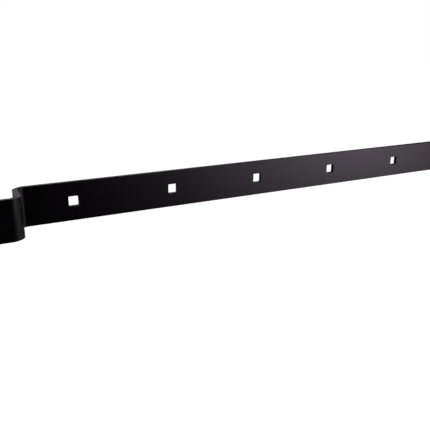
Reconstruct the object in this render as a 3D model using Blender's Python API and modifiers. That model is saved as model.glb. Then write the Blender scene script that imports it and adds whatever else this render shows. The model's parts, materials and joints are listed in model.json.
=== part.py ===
"""Cranked hook-and-band hinge for a gate, door or shutter.

A long flat band ends in a rolled eye, which turns on an upright pin. The pin stands in a knuckle
on a wall plate. Close to the eye the band is cranked, so that its long leaf lies deeper than the
wall face. +X runs along the band, +Y into the wall, +Z up. The origin is the centre of the wall
plate's back face. All sizes are in metres.
"""

import math

import bmesh
import bpy
from mathutils import Matrix, Vector

# Band: flat bar, rolled eye at one end, rounded tip at the other
BAND_WIDTH = 0.040
BAND_THICKNESS = 0.005
BAND_REACH = 0.800            # pin axis to tip
TIP_ROUND_OVERSIZE = 0.0005   # how much the tip's radius exceeds half the band's width

# Crank: two square bends that set the long leaf back from the eye
CRANK_OFFSET = 0.039          # eye leaf's face to long leaf's face
CRANK_REACH = 0.080           # pin axis to the crank's far side
NEAR_BEND_INSIDE_RADIUS = 0.006
FAR_BEND_INSIDE_RADIUS = 0.006

# Square holes for the necks of M10 coach bolts
BOLT_HOLE_SIDE = 0.0102
BOLT_HOLE_CORNER_RADIUS = 0.0008
FIRST_HOLE_FROM_CRANK = 0.0525
HOLE_PITCH = 0.107
LAST_HOLE_TIP_MARGIN = 0.025  # least distance from the last hole's centre to the tip

# Pin, and the running clearance round it
PIN_DIAMETER = 0.016
PIN_RUNNING_CLEARANCE = 0.00025
PIN_TIP_ROUNDING = 0.0035
PIN_FOOT_CHAMFER = 0.001
PIN_ABOVE_BAND = 0.0074
EYE_SEAM_GAP = 0.0008         # where the rolled end comes back to the band's face

# Thrust washer under the eye
WASHER_THICKNESS = 0.002

# Knuckle that carries the pin
KNUCKLE_HEIGHT = 0.030
KNUCKLE_TOP = -0.005
KNUCKLE_EDGE_BREAK = 0.001

# Wall plate
PLATE_WIDTH = 0.060
PLATE_HEIGHT = 0.150
PLATE_THICKNESS = 0.006
PLATE_CORNER_RADIUS = 0.005
PLATE_HOLE_SIDE_MARGIN = 0.013  # hole's centre to the plate's side
PLATE_HOLE_END_MARGIN = 0.015   # hole's centre to the plate's top or bottom
EYE_TO_PLATE_GAP = 0.00275

# Fits and fineness
SEATING_GAP = 0.0003          # between pieces that touch
CUT_OVERRUN = 0.005           # how far a cutter passes the piece it cuts
WELD_DISTANCE = 0.00001
ARC_DEVIATION = 0.000015      # how far a chord may lie inside its arc
TURNED_STEPS = 72

# Worked-out sizes
PIN_RADIUS = PIN_DIAMETER / 2
EYE_BORE_RADIUS = PIN_RADIUS + PIN_RUNNING_CLEARANCE
EYE_OUTSIDE_RADIUS = EYE_BORE_RADIUS + BAND_THICKNESS
EYE_MIDDLE_RADIUS = EYE_BORE_RADIUS + BAND_THICKNESS / 2
NEAR_BEND_RADIUS = NEAR_BEND_INSIDE_RADIUS + BAND_THICKNESS / 2
FAR_BEND_RADIUS = FAR_BEND_INSIDE_RADIUS + BAND_THICKNESS / 2
CRANK_MIDDLE_X = CRANK_REACH - BAND_THICKNESS / 2
LONG_LEAF_MIDDLE_Y = EYE_MIDDLE_RADIUS + CRANK_OFFSET
FIRST_HOLE_X = CRANK_REACH + FIRST_HOLE_FROM_CRANK
HOLE_RUN = BAND_REACH - LAST_HOLE_TIP_MARGIN - FIRST_HOLE_X
HOLE_COUNT = 1 + math.floor(HOLE_RUN / HOLE_PITCH + WELD_DISTANCE)
PIN_Y = -(PLATE_THICKNESS + EYE_TO_PLATE_GAP + EYE_OUTSIDE_RADIUS)
WASHER_BOTTOM = KNUCKLE_TOP + SEATING_GAP
WASHER_TOP = WASHER_BOTTOM + WASHER_THICKNESS
BAND_BOTTOM = WASHER_TOP + SEATING_GAP
BAND_MIDDLE_Z = BAND_BOTTOM + BAND_WIDTH / 2
PIN_TOP = BAND_BOTTOM + BAND_WIDTH + PIN_ABOVE_BAND
PIN_FOOT = KNUCKLE_TOP - KNUCKLE_HEIGHT

UPRIGHT = Matrix.Rotation(math.pi / 2, 4, "X")  # turns an outline's Y to +Z and its depth to Y


def clear_scene():
    for leftover in list(bpy.data.objects):
        bpy.data.objects.remove(leftover, do_unlink=True)


def new_collection(name):
    collection = bpy.data.collections.new(name)
    bpy.context.scene.collection.children.link(collection)
    return collection


def make_material(name, color, roughness, metallic):
    material = bpy.data.materials.new(name)
    material.use_nodes = True
    shader = material.node_tree.nodes["Principled BSDF"]
    shader.inputs["Base Color"].default_value = (*color, 1)
    shader.inputs["Roughness"].default_value = roughness
    shader.inputs["Metallic"].default_value = metallic
    material.diffuse_color = (*color, 1)
    return material


def arc(centre, radius, start, end):
    """Points along an arc, both ends included. Angles are counterclockwise from +X."""
    step_angle = 2 * math.acos(1 - ARC_DEVIATION / radius)
    steps = max(2, math.ceil(abs(end - start) / step_angle))
    angles = [start + (end - start) * step / steps for step in range(steps + 1)]
    return [(centre[0] + radius * math.cos(a), centre[1] + radius * math.sin(a)) for a in angles]


def rounded_rectangle(width, height, radius):
    """Outline centred on the origin, counterclockwise."""
    inner_x = width / 2 - radius
    inner_y = height / 2 - radius
    corners = [(inner_x, inner_y), (-inner_x, inner_y), (-inner_x, -inner_y), (inner_x, -inner_y)]
    outline = []
    for turn, corner in enumerate(corners):
        start = turn * math.pi / 2
        outline += arc(corner, radius, start, start + math.pi / 2)
    return outline


def smooth_round_faces(mesh):
    mesh.shade_smooth()
    mesh.set_sharp_from_angle(angle=math.radians(30))


def make_object(name, mesh, collection, location=(0, 0, 0), parent=None):
    """An object at a place in the parent's frame, or in the world when it has no parent."""
    made = bpy.data.objects.new(name, mesh)
    collection.objects.link(made)
    made.parent = parent
    made.location = location
    return made


def prism_mesh(name, outline, depth, collection, turn=Matrix.Identity(4)):
    """A closed outline in XY as a solid of that depth, centred on its plane, then turned."""
    curve = bpy.data.curves.new(name, "CURVE")
    curve.dimensions = "2D"
    curve.fill_mode = "BOTH"
    curve.extrude = depth / 2
    spline = curve.splines.new("POLY")
    spline.points.add(len(outline) - 1)
    for point, (x, y) in zip(spline.points, outline):
        point.co = (x, y, 0, 1)
    spline.use_cyclic_u = True
    drawn = bpy.data.objects.new(name + "_outline", curve)
    collection.objects.link(drawn)
    depsgraph = bpy.context.evaluated_depsgraph_get()
    mesh = bpy.data.meshes.new_from_object(drawn.evaluated_get(depsgraph))
    bpy.data.objects.remove(drawn, do_unlink=True)

    body = bmesh.new()
    body.from_mesh(mesh)
    bmesh.ops.remove_doubles(body, verts=body.verts, dist=WELD_DISTANCE)
    bmesh.ops.recalc_face_normals(body, faces=body.faces)
    body.to_mesh(mesh)
    body.free()
    mesh.transform(turn)
    smooth_round_faces(mesh)
    mesh.name = name
    return mesh


def add_cutter(name, outline, depth, collection, turn, location, parent=None):
    mesh = prism_mesh(name, outline, depth, collection, turn)
    cutter = make_object(name, mesh, collection, location, parent)
    cutter.hide_render = True
    cutter.display_type = "WIRE"
    return cutter


def cut(piece, cutter):
    modifier = piece.modifiers.new(cutter.name, "BOOLEAN")
    modifier.operation = "DIFFERENCE"
    modifier.solver = "EXACT"
    modifier.object = cutter


def add_turned(piece, closed_profile):
    """Turns a mesh profile drawn at +X round the object's own Z axis."""
    screw = piece.modifiers.new("turned", "SCREW")
    screw.axis = "Z"
    screw.steps = TURNED_STEPS
    screw.render_steps = TURNED_STEPS
    screw.use_merge_vertices = not closed_profile
    screw.merge_threshold = WELD_DISTANCE
    screw.use_smooth_shade = True


def profile_mesh(name, points, closed):
    """A profile of (radius, height) points, each joined to the next."""
    last = len(points) if closed else len(points) - 1
    edges = [(index, (index + 1) % len(points)) for index in range(last)]
    mesh = bpy.data.meshes.new(name)
    mesh.from_pydata([(radius, 0, height) for radius, height in points], edges, [])
    return mesh


def band_line(side):
    """The band seen from above, from the eye's rolled end to the tip, with the pin axis at the
    origin. Side 0 is the bar's middle line, -1 the eye leaf's front face and +1 its back face."""
    shift = side * BAND_THICKNESS / 2
    quarter = math.pi / 2
    rolled_end_height = EYE_BORE_RADIUS - EYE_SEAM_GAP
    rolled_end = 2 * math.pi + math.asin(rolled_end_height / EYE_OUTSIDE_RADIUS)
    near_centre = (CRANK_MIDDLE_X - NEAR_BEND_RADIUS, EYE_MIDDLE_RADIUS + NEAR_BEND_RADIUS)
    far_centre = (CRANK_MIDDLE_X + FAR_BEND_RADIUS, LONG_LEAF_MIDDLE_Y - FAR_BEND_RADIUS)
    line = arc((0, 0), EYE_MIDDLE_RADIUS + shift, rolled_end, quarter)
    line += arc(near_centre, NEAR_BEND_RADIUS - shift, -quarter, 0)
    line += arc(far_centre, FAR_BEND_RADIUS + shift, 2 * quarter, quarter)
    line.append((BAND_REACH, LONG_LEAF_MIDDLE_Y + shift))
    return line


def tip_waste_outline():
    """What is cut away to round the band's tip, in XZ, with the band's middle at height 0."""
    radius = BAND_WIDTH / 2 + TIP_ROUND_OVERSIZE
    centre = (BAND_REACH - radius, 0)
    cut_half = BAND_WIDTH / 2 + CUT_OVERRUN
    shoulder = math.radians(80)
    round_end = arc(centre, radius, -shoulder, shoulder)
    start, end = round_end[0], round_end[-1]
    lead = (cut_half - end[1]) * math.tan(shoulder)
    outline = [(start[0] - lead, -cut_half)] + round_end + [(end[0] - lead, cut_half)]
    outline += [(BAND_REACH + CUT_OVERRUN, cut_half), (BAND_REACH + CUT_OVERRUN, -cut_half)]
    return outline


def hole_outline():
    return rounded_rectangle(BOLT_HOLE_SIDE, BOLT_HOLE_SIDE, BOLT_HOLE_CORNER_RADIUS)


def make_band(parts, cutters, parent, material):
    """The eye, both leaves and the crank are one bent bar, cut by the bolt holes and the tip."""
    outline = band_line(-1) + band_line(+1)[::-1]
    mesh = prism_mesh("band", outline, BAND_WIDTH, parts)
    band = make_object("band", mesh, parts, (0, 0, 0), parent)
    mesh.materials.append(material)

    depth = BAND_THICKNESS + 2 * CUT_OVERRUN
    for number in range(HOLE_COUNT):
        place = (FIRST_HOLE_X + number * HOLE_PITCH, LONG_LEAF_MIDDLE_Y, 0)
        name = f"band_hole_cutter_{number + 1}"
        cut(band, add_cutter(name, hole_outline(), depth, cutters, UPRIGHT, place, parent))

    place = (0, LONG_LEAF_MIDDLE_Y, 0)
    waste = tip_waste_outline()
    cut(band, add_cutter("band_tip_cutter", waste, depth, cutters, UPRIGHT, place, parent))
    return band


def make_hook_plate(parts, cutters, material):
    outline = rounded_rectangle(PLATE_WIDTH, PLATE_HEIGHT, PLATE_CORNER_RADIUS)
    mesh = prism_mesh("hook_plate", outline, PLATE_THICKNESS, parts, UPRIGHT)
    middle_y = -PLATE_THICKNESS / 2
    plate = make_object("hook_plate", mesh, parts, (0, middle_y, 0))
    mesh.materials.append(material)

    depth = PLATE_THICKNESS + 2 * CUT_OVERRUN
    for row, side_z in (("upper", 1), ("lower", -1)):
        for column, side_x in (("left", -1), ("right", 1)):
            x = side_x * (PLATE_WIDTH / 2 - PLATE_HOLE_SIDE_MARGIN)
            z = side_z * (PLATE_HEIGHT / 2 - PLATE_HOLE_END_MARGIN)
            name = f"plate_hole_cutter_{row}_{column}"
            place = (x, middle_y, z)
            cut(plate, add_cutter(name, hole_outline(), depth, cutters, UPRIGHT, place))
    return plate


def make_hook_knuckle(parts, cutters, material):
    """A round-nosed block against the plate, bored for the pin. Its nose matches the eye."""
    back = -PLATE_THICKNESS - SEATING_GAP - PIN_Y
    outline = [(EYE_OUTSIDE_RADIUS, back), (-EYE_OUTSIDE_RADIUS, back)]
    outline += arc((0, 0), EYE_OUTSIDE_RADIUS, math.pi, 2 * math.pi)
    mesh = prism_mesh("hook_knuckle", outline, KNUCKLE_HEIGHT, parts)
    middle = (0, PIN_Y, KNUCKLE_TOP - KNUCKLE_HEIGHT / 2)
    knuckle = make_object("hook_knuckle", mesh, parts, middle)
    mesh.materials.append(material)

    edge_break = knuckle.modifiers.new("edge_break", "BEVEL")
    edge_break.width = KNUCKLE_EDGE_BREAK
    edge_break.segments = 2
    edge_break.limit_method = "ANGLE"
    edge_break.angle_limit = math.radians(60)

    bore = arc((0, 0), PIN_RADIUS + SEATING_GAP, 0, 2 * math.pi)[:-1]
    depth = KNUCKLE_HEIGHT + 2 * CUT_OVERRUN
    level = Matrix.Identity(4)
    cut(knuckle, add_cutter("knuckle_bore_cutter", bore, depth, cutters, level, middle))
    return knuckle


def make_hook_pin(parts, material):
    """A round bar with a rounded tip, flush with the knuckle's underside."""
    tip_centre = (PIN_RADIUS - PIN_TIP_ROUNDING, PIN_TOP - PIN_TIP_ROUNDING)
    profile = [(0, PIN_TOP)] + arc(tip_centre, PIN_TIP_ROUNDING, math.pi / 2, 0)
    profile += [(PIN_RADIUS, PIN_FOOT + PIN_FOOT_CHAMFER)]
    profile += [(PIN_RADIUS - PIN_FOOT_CHAMFER, PIN_FOOT), (0, PIN_FOOT)]
    mesh = profile_mesh("hook_pin", profile, closed=False)
    mesh.materials.append(material)
    pin = make_object("hook_pin", mesh, parts, (0, PIN_Y, 0))
    add_turned(pin, closed_profile=False)
    return pin


def make_thrust_washer(parts, parent, material):
    """A flat ring as wide as the eye, between the knuckle and the eye."""
    top, bottom = WASHER_TOP, WASHER_BOTTOM
    outer, inner = EYE_OUTSIDE_RADIUS, EYE_BORE_RADIUS
    profile = [(outer, top), (outer, bottom), (inner, bottom), (inner, top)]
    mesh = profile_mesh("thrust_washer", profile, closed=True)
    mesh.materials.append(material)
    washer = make_object("thrust_washer", mesh, parts, (0, 0, 0), parent)
    add_turned(washer, closed_profile=True)
    return washer


def make_axis(name, location, collection, parent=None):
    axis = make_object(name, None, collection, location, parent)
    axis.empty_display_type = "SINGLE_ARROW"
    axis.empty_display_size = BAND_WIDTH
    return axis


def main():
    clear_scene()
    parts = new_collection("cranked_band_hinge")
    cutters = new_collection("cutters")
    black = make_material("black_powder_coat", (0.012, 0.0105, 0.0125), 0.42, 0.0)
    brass = make_material("washer_brass", (0.62, 0.43, 0.17), 0.35, 1.0)

    swing_axis = make_axis("swing_axis", Vector((0, PIN_Y, 0)), parts)
    lift_axis = make_axis("lift_axis", Vector((0, 0, BAND_MIDDLE_Z)), parts, swing_axis)
    bpy.context.view_layer.update()

    make_hook_plate(parts, cutters, black)
    make_hook_knuckle(parts, cutters, black)
    make_hook_pin(parts, black)
    make_thrust_washer(parts, swing_axis, brass)
    make_band(parts, cutters, lift_axis, black)


main()
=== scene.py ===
"""Looks of the cranked hook-and-band hinge: satin black powder coat on bent bar, welds, a brass washer.

Every piece is drawn again finely, with rounded edges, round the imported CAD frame. Sizes are in metres.
"""
import json
import math

import bmesh
import bpy
from mathutils import Matrix, Vector, noise


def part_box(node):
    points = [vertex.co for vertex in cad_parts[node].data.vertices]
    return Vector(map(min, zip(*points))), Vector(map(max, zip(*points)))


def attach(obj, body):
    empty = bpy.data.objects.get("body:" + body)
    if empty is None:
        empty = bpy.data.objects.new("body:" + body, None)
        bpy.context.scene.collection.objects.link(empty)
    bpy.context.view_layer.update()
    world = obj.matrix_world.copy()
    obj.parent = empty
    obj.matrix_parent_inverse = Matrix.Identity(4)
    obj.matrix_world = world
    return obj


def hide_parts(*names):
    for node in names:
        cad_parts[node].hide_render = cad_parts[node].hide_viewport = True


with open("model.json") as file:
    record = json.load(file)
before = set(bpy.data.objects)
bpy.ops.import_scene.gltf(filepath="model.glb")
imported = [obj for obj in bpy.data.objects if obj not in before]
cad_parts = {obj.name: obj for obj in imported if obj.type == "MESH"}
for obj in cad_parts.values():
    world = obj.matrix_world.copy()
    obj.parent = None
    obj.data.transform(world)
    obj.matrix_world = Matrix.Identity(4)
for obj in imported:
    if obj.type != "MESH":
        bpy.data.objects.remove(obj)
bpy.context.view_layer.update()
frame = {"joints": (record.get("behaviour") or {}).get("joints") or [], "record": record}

# Sizes that the frame states
band_low, band_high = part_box("band")
washer_low, washer_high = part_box("thrust_washer")
knuckle_low, knuckle_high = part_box("hook_knuckle")
plate_low, plate_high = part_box("hook_plate")
pin_low, pin_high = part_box("hook_pin")
openings = frame["record"]["physics"]["openings"]
swing = next(joint for joint in frame["joints"] if joint["name"] == "band_swing")
PIN_AXIS = Vector(swing["pos_m"])

# Bar and crank sizes, as in the CAD model
BAND_THICKNESS = 0.005
BAND_WIDTH = band_high.z - band_low.z
BAND_MIDDLE_Z = (band_high.z + band_low.z) / 2
CRANK_REACH = 0.080
NEAR_BEND_RADIUS = 0.006 + BAND_THICKNESS / 2   # to the bar's middle line
FAR_BEND_RADIUS = 0.006 + BAND_THICKNESS / 2
TIP_ROUND_OVERSIZE = 0.0005
TIP_RADIUS = BAND_WIDTH / 2 + TIP_ROUND_OVERSIZE
EYE_SEAM_GAP = 0.0008
HOLE_SIDE = 0.0102
HOLE_CORNER_RADIUS = 0.0008
PLATE_CORNER_RADIUS = 0.005
PIN_TIP_ROUNDING = 0.0035
PIN_FOOT_CHAMFER = 0.001
KNUCKLE_BORE_GAP = 0.0003
EYE_OUTSIDE_RADIUS = PIN_AXIS.y - band_low.y
EYE_BORE_RADIUS = EYE_OUTSIDE_RADIUS - BAND_THICKNESS
EYE_MIDDLE_RADIUS = EYE_OUTSIDE_RADIUS - BAND_THICKNESS / 2
EYE_SEAM_HEIGHT = EYE_BORE_RADIUS - EYE_SEAM_GAP   # of the rolled end's outer edge, above the pin axis
PIN_RADIUS = (pin_high.x - pin_low.x) / 2

# Finish of edges and welds
BAR_EDGE_ROUNDING = 0.0004
PLATE_EDGE_ROUNDING = 0.0005
KNUCKLE_EDGE_ROUNDING = 0.0009
WASHER_EDGE_CHAMFER = 0.00025
EDGE_BULGE = 0.00035          # how far a bend's squeezed side swells at the bar's edges
EDGE_BULGE_DEPTH = 0.005      # how far in from the edge the swelling reaches
EDGE_BULGE_RISE = 2.5         # how quickly it rises: 2 would peak at the bend's middle only
ROLLED_STEP = math.radians(3)
BEND_STEP = math.radians(4)
SMALL_ARC_STEP = math.radians(11.25)
EDGE_ROUNDING_STEPS = 4
TURNED_STEPS = 128
MERGE_DISTANCE = 0.000002
PLATE_SHARP_ANGLE = 50        # degrees between faces from which an edge is drawn sharp
TURNED_SHARP_ANGLE = 35


# ---------------------------------------------------------------- outlines and solids

def arc(centre, radius, start, end, step):
    """Points along an arc, both ends included. Angles are counterclockwise from +X."""
    steps = max(2, math.ceil(abs(end - start) / step))
    angles = [start + (end - start) * index / steps for index in range(steps + 1)]
    return [(centre[0] + radius * math.cos(a), centre[1] + radius * math.sin(a)) for a in angles]


def rounded_rectangle(centre, width, height, radius):
    inner_x = width / 2 - radius
    inner_y = height / 2 - radius
    corners = [(inner_x, inner_y), (-inner_x, inner_y), (-inner_x, -inner_y), (inner_x, -inner_y)]
    outline = []
    for turn, (x, y) in enumerate(corners):
        start = turn * math.pi / 2
        corner = (centre[0] + x, centre[1] + y)
        outline += arc(corner, radius, start, start + math.pi / 2, SMALL_ARC_STEP)
    return outline


def hole_centres(kind):
    """(X, Z) of the middle of each bolt hole whose name starts so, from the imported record."""
    boxes = [opening["box_m"] for opening in openings if opening["name"].startswith(kind)]
    return [((low[0] + high[0]) / 2, (low[2] + high[2]) / 2) for low, high in boxes]


def square_hole(centre):
    return rounded_rectangle(centre, HOLE_SIDE, HOLE_SIDE, HOLE_CORNER_RADIUS)


def edge_rounded_plate(name, outlines, thickness, edge_rounding):
    """A flat solid centred on Z=0. The first outline is its rim and the others are holes."""
    curve = bpy.data.curves.new(name, "CURVE")
    curve.dimensions = "2D"
    curve.fill_mode = "BOTH"
    curve.extrude = thickness / 2 - edge_rounding
    curve.bevel_depth = edge_rounding
    curve.bevel_resolution = EDGE_ROUNDING_STEPS
    curve.offset = -edge_rounding
    for outline in outlines:
        spline = curve.splines.new("POLY")
        spline.points.add(len(outline) - 1)
        for point, (x, y) in zip(spline.points, outline):
            point.co = (x, y, 0, 1)
        spline.use_cyclic_u = True
    drawn = bpy.data.objects.new(name + "_outline", curve)
    bpy.context.scene.collection.objects.link(drawn)
    depsgraph = bpy.context.evaluated_depsgraph_get()
    mesh = bpy.data.meshes.new_from_object(drawn.evaluated_get(depsgraph))
    bpy.data.objects.remove(drawn, do_unlink=True)
    mesh.name = name
    body = bmesh.new()
    body.from_mesh(mesh)
    bmesh.ops.remove_doubles(body, verts=body.verts, dist=MERGE_DISTANCE)
    bmesh.ops.recalc_face_normals(body, faces=body.faces)
    body.to_mesh(mesh)
    body.free()
    return mesh


def turned_mesh(name, profile, closed):
    """A solid of revolution about Z from (radius, height) points."""
    body = bmesh.new()
    verts = [body.verts.new((radius, 0, height)) for radius, height in profile]
    pairs = list(zip(verts, verts[1:])) + ([(verts[-1], verts[0])] if closed else [])
    edges = [body.edges.new(pair) for pair in pairs]
    bmesh.ops.spin(body, geom=verts + edges, axis=(0, 0, 1), cent=(0, 0, 0),
                   steps=TURNED_STEPS, angle=2 * math.pi)
    bmesh.ops.remove_doubles(body, verts=body.verts, dist=MERGE_DISTANCE)
    bmesh.ops.recalc_face_normals(body, faces=body.faces)
    mesh = bpy.data.meshes.new(name)
    body.to_mesh(mesh)
    body.free()
    return mesh


def add_piece(name, mesh, material, body, replaced=None, sharp_angle=PLATE_SHARP_ANGLE):
    """Puts a finished mesh in the scene, on the CAD body that carries it."""
    mesh.materials.clear()
    mesh.materials.append(material)
    mesh.shade_smooth()
    mesh.set_sharp_from_angle(angle=math.radians(sharp_angle))
    piece = bpy.data.objects.new(name, mesh)
    bpy.context.scene.collection.objects.link(piece)
    flat_faces = piece.modifiers.new("flat_faces_stay_flat", "WEIGHTED_NORMAL")
    flat_faces.mode = "FACE_AREA"
    flat_faces.weight = 100
    flat_faces.keep_sharp = True
    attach(piece, body)
    if replaced:
        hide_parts(replaced)


# ---------------------------------------------------------------- band

def bend_stretches():
    """The bar's middle line from the eye's rolled end to the tip, seen from above, as stretches
    of (length, turn). A turn is positive to the left."""
    rolled = 2 * math.pi + math.asin(EYE_SEAM_HEIGHT / EYE_OUTSIDE_RADIUS) - math.pi / 2
    quarter = math.pi / 2
    crank_middle = CRANK_REACH - BAND_THICKNESS / 2
    near_leaf = crank_middle - NEAR_BEND_RADIUS
    long_leaf_y = band_high.y - BAND_THICKNESS / 2
    crank_offset = long_leaf_y - (PIN_AXIS.y + EYE_MIDDLE_RADIUS)
    crank_flat = crank_offset - NEAR_BEND_RADIUS - FAR_BEND_RADIUS
    long_leaf = band_high.x - crank_middle - FAR_BEND_RADIUS
    return [
        (EYE_MIDDLE_RADIUS * rolled, -rolled),
        (near_leaf, 0),
        (NEAR_BEND_RADIUS * quarter, quarter),
        (crank_flat, 0),
        (FAR_BEND_RADIUS * quarter, -quarter),
        (long_leaf, 0),
    ]


def stretch_starts(stretches):
    """Where each stretch starts: (distance along the bar, x, y, heading), pin axis at the origin."""
    rolled = -stretches[0][1]
    heading = rolled
    angle = math.pi / 2 + rolled
    x = EYE_MIDDLE_RADIUS * math.cos(angle)
    y = EYE_MIDDLE_RADIUS * math.sin(angle)
    distance = 0.0
    starts = []
    for length, turn in stretches:
        starts.append((distance, x, y, heading))
        x, y = along_stretch(x, y, heading, length, turn, length)[:2]
        heading += turn
        distance += length
    return starts


def along_stretch(x, y, heading, length, turn, distance):
    """The place and heading at a distance along one stretch."""
    if turn == 0:
        return x + distance * math.cos(heading), y + distance * math.sin(heading), heading
    radius = length / turn
    turned = heading + turn * distance / length
    x += radius * (math.sin(turned) - math.sin(heading))
    y -= radius * (math.cos(turned) - math.cos(heading))
    return x, y, turned


def flat_band_mesh(stretches, starts):
    """The bar before bending, with its holes and rounded tip: X runs along it from the rolled end."""
    total = sum(length for length, _ in stretches)
    half = BAND_WIDTH / 2
    tip_angle = math.asin(half / TIP_RADIUS)
    rim = [(0, half), (0, -half)]
    rim += arc((total - TIP_RADIUS, 0), TIP_RADIUS, -tip_angle, tip_angle, BEND_STEP)
    leaf_distance, leaf_x, _, _ = starts[-1]
    unrolled = leaf_distance - PIN_AXIS.x - leaf_x
    holes = [square_hole((unrolled + x, 0)) for x, _ in hole_centres("band_bolt_hole")]
    return edge_rounded_plate("band", [rim] + holes, BAND_THICKNESS, BAR_EDGE_ROUNDING)


def cut_across(mesh, distances):
    """Cross cuts, so that the flat bar can bend there."""
    body = bmesh.new()
    body.from_mesh(mesh)
    for distance in distances:
        everything = body.verts[:] + body.edges[:] + body.faces[:]
        bmesh.ops.bisect_plane(body, geom=everything, dist=MERGE_DISTANCE / 2,
                               plane_co=(distance, 0, 0), plane_no=(1, 0, 0))
    body.to_mesh(mesh)
    body.free()


def smooth_step(value):
    value = min(1.0, max(0.0, value))
    return value * value * (3 - 2 * value)


def bent_place(flat, stretches, starts):
    """Where a point of the flat bar goes when the bar is bent."""
    along, across, through = flat.x, flat.y, -flat.z
    index = max(i for i, start in enumerate(starts) if along >= start[0] or i == 0)
    distance, x, y, heading = starts[index]
    length, turn = stretches[index]
    x, y, heading = along_stretch(x, y, heading, length, turn, along - distance)
    bulge = 0.0
    if turn and index > 0:
        from_end = min(along - distance, distance + length - along)
        swelling = smooth_step(EDGE_BULGE_RISE * from_end / length)
        from_edge = BAND_WIDTH / 2 - abs(across)
        swelling *= smooth_step(1 - from_edge / EDGE_BULGE_DEPTH)
        bulge = math.copysign(EDGE_BULGE * swelling, turn) * through / (BAND_THICKNESS / 2)
    normal = Vector((-math.sin(heading), math.cos(heading), 0))
    place = Vector((PIN_AXIS.x + x, PIN_AXIS.y + y, 0)) + normal * through
    place.z = BAND_MIDDLE_Z + across + math.copysign(bulge, across * bulge)
    return place


def make_band(material):
    """One flat bar, punched and then bent: rolled eye, near leaf, crank and long leaf."""
    stretches = bend_stretches()
    starts = stretch_starts(stretches)
    mesh = flat_band_mesh(stretches, starts)
    cuts = []
    for (length, turn), (distance, _, _, _) in zip(stretches, starts):
        if turn:
            step = ROLLED_STEP if distance == 0 else BEND_STEP
            count = math.ceil(abs(turn) / step)
            cuts += [distance + length * index / count for index in range(count + 1)]
    cut_across(mesh, cuts)
    for vertex in mesh.vertices:
        vertex.co = bent_place(vertex.co, stretches, starts)
    mesh.update()
    add_piece("band_bar", mesh, material, "gate_band", "band")


# ---------------------------------------------------------------- hook

def make_plate(material):
    middle = (plate_low + plate_high) / 2
    size = plate_high - plate_low
    rim = rounded_rectangle((middle.x, middle.z), size.x, size.z, PLATE_CORNER_RADIUS)
    holes = [square_hole(centre) for centre in hole_centres("plate_bolt_hole")]
    mesh = edge_rounded_plate("wall_plate", [rim] + holes, size.y, PLATE_EDGE_ROUNDING)
    mesh.transform(Matrix.Translation((0, middle.y, 0)) @ Matrix.Rotation(math.pi / 2, 4, "X"))
    add_piece("wall_plate", mesh, material, "wall_hook", "hook_plate")


def make_knuckle(material):
    radius = (knuckle_high.x - knuckle_low.x) / 2
    centre = (PIN_AXIS.x, PIN_AXIS.y)
    rim = [(knuckle_high.x, knuckle_high.y), (knuckle_low.x, knuckle_high.y)]
    rim += arc(centre, radius, math.pi, 2 * math.pi, BEND_STEP)
    bore = arc(centre, PIN_RADIUS + KNUCKLE_BORE_GAP, 0, 2 * math.pi, BEND_STEP)[:-1]
    height = knuckle_high.z - knuckle_low.z
    mesh = edge_rounded_plate("knuckle", [rim, bore], height, KNUCKLE_EDGE_ROUNDING)
    mesh.transform(Matrix.Translation((0, 0, (knuckle_high.z + knuckle_low.z) / 2)))
    add_piece("knuckle", mesh, material, "wall_hook", "hook_knuckle")


def make_pin(material):
    top, foot = pin_high.z, pin_low.z
    centre = (PIN_RADIUS - PIN_TIP_ROUNDING, top - PIN_TIP_ROUNDING)
    profile = [(0, top)] + arc(centre, PIN_TIP_ROUNDING, math.pi / 2, 0, SMALL_ARC_STEP)
    profile += [(PIN_RADIUS, foot + PIN_FOOT_CHAMFER), (PIN_RADIUS - PIN_FOOT_CHAMFER, foot), (0, foot)]
    mesh = turned_mesh("pin", profile, closed=False)
    mesh.transform(Matrix.Translation((PIN_AXIS.x, PIN_AXIS.y, 0)))
    add_piece("pin", mesh, material, "wall_hook", "hook_pin", TURNED_SHARP_ANGLE)


def make_washer(material):
    outer = (washer_high.x - washer_low.x) / 2
    inner = EYE_BORE_RADIUS
    top, bottom = washer_high.z, washer_low.z
    chamfer = WASHER_EDGE_CHAMFER
    profile = [(outer - chamfer, top), (outer, top - chamfer), (outer, bottom + chamfer),
               (outer - chamfer, bottom), (inner + chamfer, bottom), (inner, bottom + chamfer),
               (inner, top - chamfer), (inner + chamfer, top)]
    mesh = turned_mesh("washer_ring", profile, closed=True)
    mesh.transform(Matrix.Translation((PIN_AXIS.x, PIN_AXIS.y, 0)))
    add_piece("washer_ring", mesh, material, "washer", "thrust_washer", TURNED_SHARP_ANGLE)


# ---------------------------------------------------------------- welds

WELD_STEP = 0.0003
WELD_ARCH_POINTS = 14
WELD_RIPPLE_PITCH = 0.0016
WELD_RIPPLE_HEIGHT = 0.055     # share of the bead's size
WELD_RIPPLE_LAG = 0.0013       # how far a ripple's middle runs ahead of its ends
WELD_RIPPLE_SKEW = 0.7         # below 1, a ripple's crest comes early in its pitch
WELD_WOBBLE_HEIGHT = 0.09      # share of the bead's size
WELD_WOBBLE_SCALE = 420
WELD_WOBBLE_AROUND = 1.5
WELD_ROUNDNESS = 1.35          # exponent of the arch: 1 is a quarter circle, 2 is flat
WELD_END_TAPER = 0.0025
WELD_END_SHARE = 0.35          # the bead's size at its very ends, as a share of the full size
WELD_ROOT_DEPTH = 0.0004       # how far the bead's root lies inside the steel
KNUCKLE_WELD_LEG = 0.0042
KNUCKLE_WELD_SEED = 3.0
KNUCKLE_WELD_INSET = 0.0015
KNUCKLE_WELD_CORNER_RADIUS = 0.0012
KNUCKLE_WELD_TURN_STATIONS = 4  # neighbours each side over which the bead turns at a corner
EYE_WELD_LEG = 0.0034
EYE_WELD_SEED = 8.0
EYE_WELD_INSET = 0.0008
EYE_WELD_LEAN = 0.13           # radians from the eye's tangent at the seam


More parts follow.
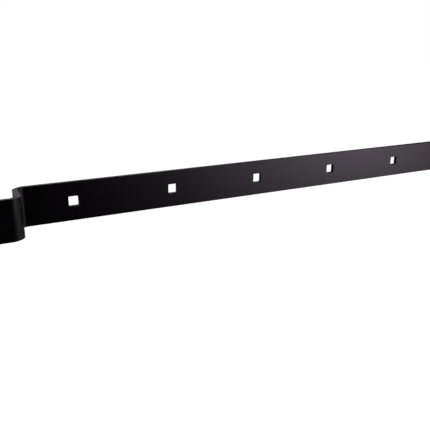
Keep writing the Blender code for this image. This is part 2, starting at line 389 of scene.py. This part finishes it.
def weld_bead(name, stations, leg, seed):
    """A rippled fillet weld. Each station is (distance, corner, direction of one toe, of the other)."""
    total = stations[-1][0]
    body = bmesh.new()
    rings = []
    for distance, corner, toe_a, toe_b in stations:
        from_end = min(distance, total - distance)
        fullness = math.sqrt(smooth_step(from_end / WELD_END_TAPER))
        size = leg * (WELD_END_SHARE + (1 - WELD_END_SHARE) * fullness)
        root = corner - (toe_a + toe_b).normalized() * WELD_ROOT_DEPTH
        ring = [body.verts.new(root)]
        for index in range(WELD_ARCH_POINTS + 1):
            angle = math.pi / 2 * index / WELD_ARCH_POINTS
            lead = distance + WELD_RIPPLE_LAG * math.sin(2 * angle)
            phase = (lead / WELD_RIPPLE_PITCH) % 1.0
            crest = math.sin(math.pi * phase ** WELD_RIPPLE_SKEW)
            spot = Vector((lead * WELD_WOBBLE_SCALE, angle * WELD_WOBBLE_AROUND, seed))
            wobble = noise.noise(spot)
            scale = size * (1 + WELD_RIPPLE_HEIGHT * (crest - 0.5) * math.sin(2 * angle)
                            + WELD_WOBBLE_HEIGHT * wobble)
            share_a = math.cos(angle) ** WELD_ROUNDNESS
            share_b = math.sin(angle) ** WELD_ROUNDNESS
            ring.append(body.verts.new(corner + (toe_a * share_a + toe_b * share_b) * scale))
        rings.append(ring)
    for ring, following in zip(rings, rings[1:]):
        for index in range(len(ring)):
            after = (index + 1) % len(ring)
            body.faces.new((ring[index], ring[after], following[after], following[index]))
    body.faces.new(rings[0])
    body.faces.new(rings[-1][::-1])
    bmesh.ops.recalc_face_normals(body, faces=body.faces)
    mesh = bpy.data.meshes.new(name)
    body.to_mesh(mesh)
    body.free()
    return mesh


def knuckle_weld_stations():
    """Down one side of the knuckle, under it and up the other, in the corner with the plate."""
    y = plate_low.y
    right, left = knuckle_high.x, knuckle_low.x
    top, bottom = knuckle_high.z - KNUCKLE_WELD_INSET, knuckle_low.z
    corner_radius = KNUCKLE_WELD_CORNER_RADIUS
    path = [(left, top)]
    path += arc((left + corner_radius, bottom + corner_radius), corner_radius,
                math.pi, 1.5 * math.pi, SMALL_ARC_STEP)
    path += arc((right - corner_radius, bottom + corner_radius), corner_radius,
                1.5 * math.pi, 2 * math.pi, SMALL_ARC_STEP)
    path += [(right, top)]
    stations = []
    travelled = 0.0
    for (x0, z0), (x1, z1) in zip(path, path[1:]):
        length = math.hypot(x1 - x0, z1 - z0)
        steps = max(1, round(length / WELD_STEP))
        for step in range(steps):
            share = step / steps
            corner = Vector((x0 + (x1 - x0) * share, y, z0 + (z1 - z0) * share))
            outward = Vector((z1 - z0, 0, x0 - x1)) / length
            stations.append((travelled + length * share, corner, outward, Vector((0, -1, 0))))
        travelled += length
    smoothed = []
    reach = KNUCKLE_WELD_TURN_STATIONS
    for index, (distance, corner, _, away) in enumerate(stations):
        near = stations[max(0, index - reach):index + reach + 1]
        mean = sum((station[2] for station in near), Vector()).normalized()
        smoothed.append((distance, corner, mean, away))
    return smoothed


def eye_weld_stations():
    """Up the seam where the rolled end meets the near leaf."""
    seam_angle = math.asin(EYE_SEAM_HEIGHT / EYE_OUTSIDE_RADIUS)
    corner_x = PIN_AXIS.x + EYE_OUTSIDE_RADIUS * math.cos(seam_angle)
    leaf_face = PIN_AXIS.y + EYE_BORE_RADIUS
    along_leaf = Vector((1, 0, 0))
    lean = seam_angle - EYE_WELD_LEAN
    down_eye = Vector((math.sin(lean), -math.cos(lean), 0))
    low, high = band_low.z + EYE_WELD_INSET, band_high.z - EYE_WELD_INSET
    steps = round((high - low) / WELD_STEP)
    stations = []
    for step in range(steps + 1):
        rise = (high - low) * step / steps
        corner = Vector((corner_x, leaf_face, low + rise))
        stations.append((rise, corner, along_leaf, down_eye))
    return stations


def make_welds(material):
    knuckle_mesh = weld_bead("knuckle_weld", knuckle_weld_stations(), KNUCKLE_WELD_LEG, KNUCKLE_WELD_SEED)
    add_piece("knuckle_weld", knuckle_mesh, material, "wall_hook")
    eye_mesh = weld_bead("eye_weld", eye_weld_stations(), EYE_WELD_LEG, EYE_WELD_SEED)
    add_piece("eye_weld", eye_mesh, material, "gate_band")


# ---------------------------------------------------------------- materials

COAT_DARK = (0.0010, 0.0007, 0.0009)
COAT_LIGHT = (0.0016, 0.0011, 0.0014)
COAT_GLOSS_TINT = (0.97, 0.78, 1.0, 1)
COAT_IOR = 1.5
COAT_ROUGHNESS = (0.31, 0.37)
COAT_PEEL_SCALE = 900
COAT_PEEL_DEPTH = 0.00002
COAT_GRAIN_SCALE = 5200
COAT_GRAIN_DEPTH = 0.000006
COAT_CLOUD_SCALE = 24
BRASS_DARK = (0.56, 0.37, 0.14)
BRASS_LIGHT = (0.70, 0.50, 0.21)
BRASS_ROUGHNESS = (0.24, 0.40)
BRASS_RING_SCALE = 9000
BRASS_RING_DEPTH = 0.00001
BRASS_DULLNESS_SCALE = 350


def new_material(name):
    material = bpy.data.materials.new(name)
    material.use_nodes = True
    tree = material.node_tree
    return material, tree, tree.nodes["Principled BSDF"]


def add_noise(tree, coordinates, scale, detail, roughness=0.5):
    texture = tree.nodes.new("ShaderNodeTexNoise")
    texture.inputs["Scale"].default_value = scale
    texture.inputs["Detail"].default_value = detail
    texture.inputs["Roughness"].default_value = roughness
    tree.links.new(coordinates, texture.inputs["Vector"])
    return texture.outputs["Fac"]


def add_range(tree, value, low, high, from_low=0.0, from_high=1.0):
    mapped = tree.nodes.new("ShaderNodeMapRange")
    mapped.inputs["From Min"].default_value = from_low
    mapped.inputs["From Max"].default_value = from_high
    mapped.inputs["To Min"].default_value = low
    mapped.inputs["To Max"].default_value = high
    tree.links.new(value, mapped.inputs["Value"])
    return mapped.outputs["Result"]


def add_mix(tree, factor, low, high):
    mixed = tree.nodes.new("ShaderNodeMix")
    mixed.data_type = "RGBA"
    mixed.inputs["A"].default_value = (*low, 1)
    mixed.inputs["B"].default_value = (*high, 1)
    tree.links.new(factor, mixed.inputs["Factor"])
    return mixed.outputs["Result"]


def add_bump(tree, height, strength, distance, normal=None):
    bump = tree.nodes.new("ShaderNodeBump")
    bump.inputs["Strength"].default_value = strength
    bump.inputs["Distance"].default_value = distance
    tree.links.new(height, bump.inputs["Height"])
    if normal:
        tree.links.new(normal, bump.inputs["Normal"])
    return bump.outputs["Normal"]


def powder_coat():
    """Satin black powder coat: faint orange peel about a millimetre across, fine cured grain."""
    material, tree, shader = new_material("black_powder_coat")
    place = tree.nodes.new("ShaderNodeTexCoord").outputs["Object"]
    peel = add_noise(tree, place, COAT_PEEL_SCALE, 1.5)
    grain = add_noise(tree, place, COAT_GRAIN_SCALE, 2.0, 0.6)
    cloud = add_noise(tree, place, COAT_CLOUD_SCALE, 3.0)
    tone = add_range(tree, cloud, 0, 1, 0.3, 0.7)
    tree.links.new(add_mix(tree, tone, COAT_DARK, COAT_LIGHT), shader.inputs["Base Color"])
    roughness = add_range(tree, grain, *COAT_ROUGHNESS, 0.25, 0.75)
    tree.links.new(roughness, shader.inputs["Roughness"])
    peel_normal = add_bump(tree, peel, 0.35, COAT_PEEL_DEPTH)
    normal = add_bump(tree, grain, 0.25, COAT_GRAIN_DEPTH, peel_normal)
    tree.links.new(normal, shader.inputs["Normal"])
    shader.inputs["Specular Tint"].default_value = COAT_GLOSS_TINT
    shader.inputs["IOR"].default_value = COAT_IOR
    return material


def turned_brass():
    """Brass with fine lathe rings round the pin axis and a slightly dulled tone."""
    material, tree, shader = new_material("turned_brass")
    place = tree.nodes.new("ShaderNodeTexCoord").outputs["Object"]
    centred = tree.nodes.new("ShaderNodeVectorMath")
    centred.operation = "SUBTRACT"
    centred.inputs[1].default_value = PIN_AXIS
    flattened = tree.nodes.new("ShaderNodeVectorMath")
    flattened.operation = "MULTIPLY"
    flattened.inputs[1].default_value = (1, 1, 0)
    radius = tree.nodes.new("ShaderNodeVectorMath")
    radius.operation = "LENGTH"
    tree.links.new(place, centred.inputs[0])
    tree.links.new(centred.outputs[0], flattened.inputs[0])
    tree.links.new(flattened.outputs[0], radius.inputs[0])
    ring_place = tree.nodes.new("ShaderNodeCombineXYZ")
    separate = tree.nodes.new("ShaderNodeSeparateXYZ")
    tree.links.new(place, separate.inputs[0])
    tree.links.new(radius.outputs["Value"], ring_place.inputs["X"])
    tree.links.new(separate.outputs["Z"], ring_place.inputs["Y"])
    rings = add_noise(tree, ring_place.outputs[0], BRASS_RING_SCALE, 2.0)
    dullness = add_noise(tree, place, BRASS_DULLNESS_SCALE, 4.0)
    tone = add_range(tree, dullness, 0, 1, 0.3, 0.7)
    tree.links.new(add_mix(tree, tone, BRASS_DARK, BRASS_LIGHT), shader.inputs["Base Color"])
    tree.links.new(add_range(tree, dullness, *BRASS_ROUGHNESS), shader.inputs["Roughness"])
    tree.links.new(add_bump(tree, rings, 0.3, BRASS_RING_DEPTH), shader.inputs["Normal"])
    shader.inputs["Metallic"].default_value = 1.0
    return material


# ---------------------------------------------------------------- studio

CAMERA_PLACE = (0.02767, -0.49437, 0.16779)
CAMERA_DIP = math.radians(17.874)           # below the horizon
CAMERA_HEADING = math.radians(-26.856)      # from straight into the wall
CAMERA_LENS = 44.51                         # millimetres, on a sensor 36 mm wide
CAMERA_SENSOR = 36
KEY_STRIP_COUNT = 4
KEY_FIRST_STRIP_X = 0.48
KEY_DARK_END_X = 0.44                       # where the key light's brightness would run out
KEY_GRADIENT = 5.0                          # radiance gained in each metre to the right of there
KEY_STRIP_WIDTH = 0.22
KEY_STRIP_HEIGHT = 0.62
KEY_STRIP_Z = 0.10
KEY_STRIP_Y = -0.60
GLOW_DIRECTION = Vector((-0.05, 0.93, 0.36)).normalized()
GLOW_COSINES = (0.6, 0.99)                  # of the angle from that direction: glow's rim and middle
GLOW_STRENGTHS = (0.004, 0.55)
FLOOR_Z = -0.8
FLOOR_HALF_WIDTH = 20


def add_camera():
    """Looks along and down the band from in front of its near end."""
    camera = bpy.data.cameras.new("camera")
    camera.sensor_width = CAMERA_SENSOR
    camera.lens = CAMERA_LENS
    camera.clip_start = 0.01
    camera.clip_end = 50
    holder = bpy.data.objects.new("camera", camera)
    bpy.context.scene.collection.objects.link(holder)
    holder.location = CAMERA_PLACE
    holder.rotation_euler = (math.pi / 2 - CAMERA_DIP, 0, CAMERA_HEADING)
    bpy.context.scene.camera = holder


def add_softbox(name, place, target, width, height, radiance):
    """A rectangular light that faces its target; its power follows from its size and radiance."""
    light = bpy.data.lights.new(name, "AREA")
    light.shape = "RECTANGLE"
    light.size = width
    light.size_y = height
    light.energy = radiance * math.pi * width * height
    holder = bpy.data.objects.new(name, light)
    bpy.context.scene.collection.objects.link(holder)
    holder.location = place
    facing = Vector(target) - Vector(place)
    holder.rotation_euler = facing.to_track_quat("-Z", "Y").to_euler()
    holder.visible_camera = False


def add_lights():
    """In front on the right a softbox that brightens to the right, and soft fills for the other sides."""
    for index in range(KEY_STRIP_COUNT):
        x = KEY_FIRST_STRIP_X + index * KEY_STRIP_WIDTH
        radiance = KEY_GRADIENT * (x - KEY_DARK_END_X)
        add_softbox("key_strip", (x, KEY_STRIP_Y, KEY_STRIP_Z), (x, 1.0, KEY_STRIP_Z),
                    KEY_STRIP_WIDTH, KEY_STRIP_HEIGHT, radiance)
    add_softbox("side_front", (1.35, -0.30, 0.10), (0, -0.30, 0.10), 0.40, 0.62, 0.9)
    add_softbox("side_low", (1.30, -0.10, -0.60), (0.10, 0, 0), 0.60, 0.50, 0.55)
    add_softbox("front_left_low", (-1.05, -1.00, -0.72), (0.35, 0, 0), 1.0, 0.6, 2.1)
    add_softbox("back_right_low", (1.30, 1.00, -0.15), (0.35, 0, 0), 1.0, 0.35, 3.5)
    add_softbox("back_low", (0.75, 1.30, -0.45), (0, 0, 0), 0.7, 0.5, 0.6)
    add_softbox("front_left", (-1.10, -1.10, 0.20), (0.20, 0, 0), 0.6, 0.8, 1.4)


def add_world():
    """White for the camera; for the object, a soft glow high at the back and darkness all round it."""
    world = bpy.data.worlds.new("studio")
    bpy.context.scene.world = world
    world.use_nodes = True
    tree = world.node_tree
    tree.nodes.clear()
    output = tree.nodes.new("ShaderNodeOutputWorld")
    direction = tree.nodes.new("ShaderNodeTexCoord").outputs["Generated"]
    facing = tree.nodes.new("ShaderNodeVectorMath")
    facing.operation = "DOT_PRODUCT"
    facing.inputs[1].default_value = GLOW_DIRECTION
    tree.links.new(direction, facing.inputs[0])
    glow = add_range(tree, facing.outputs["Value"], *GLOW_STRENGTHS, *GLOW_COSINES)
    glow.node.interpolation_type = "SMOOTHSTEP"
    surround = tree.nodes.new("ShaderNodeBackground")
    tree.links.new(glow, surround.inputs["Strength"])
    backdrop = tree.nodes.new("ShaderNodeBackground")
    backdrop.inputs["Color"].default_value = (1, 1, 1, 1)
    ray = tree.nodes.new("ShaderNodeLightPath")
    shown = tree.nodes.new("ShaderNodeMixShader")
    tree.links.new(ray.outputs["Is Camera Ray"], shown.inputs["Fac"])
    tree.links.new(surround.outputs[0], shown.inputs[1])
    tree.links.new(backdrop.outputs[0], shown.inputs[2])
    tree.links.new(shown.outputs[0], output.inputs["Surface"])


def add_floor():
    """A pale floor well below the hinge, which hangs on a wall that isn't shown."""
    mesh = bpy.data.meshes.new("floor")
    body = bmesh.new()
    bmesh.ops.create_grid(body, x_segments=1, y_segments=1, size=FLOOR_HALF_WIDTH)
    body.to_mesh(mesh)
    body.free()
    material, _, shader = new_material("pale_floor")
    shader.inputs["Base Color"].default_value = (0.85, 0.85, 0.85, 1)
    shader.inputs["Roughness"].default_value = 0.9
    shader.inputs["Emission Color"].default_value = (1, 1, 1, 1)
    shader.inputs["Emission Strength"].default_value = 1.0
    mesh.materials.append(material)
    floor = bpy.data.objects.new("floor", mesh)
    bpy.context.scene.collection.objects.link(floor)
    floor.location.z = FLOOR_Z
    floor.visible_glossy = False
    floor.visible_diffuse = False


def main():
    scene = bpy.context.scene
    scene.view_settings.view_transform = "Standard"
    black = powder_coat()
    make_band(black)
    make_plate(black)
    make_knuckle(black)
    make_pin(black)
    make_welds(black)
    make_washer(turned_brass())
    add_camera()
    add_lights()
    add_world()
    add_floor()


main()
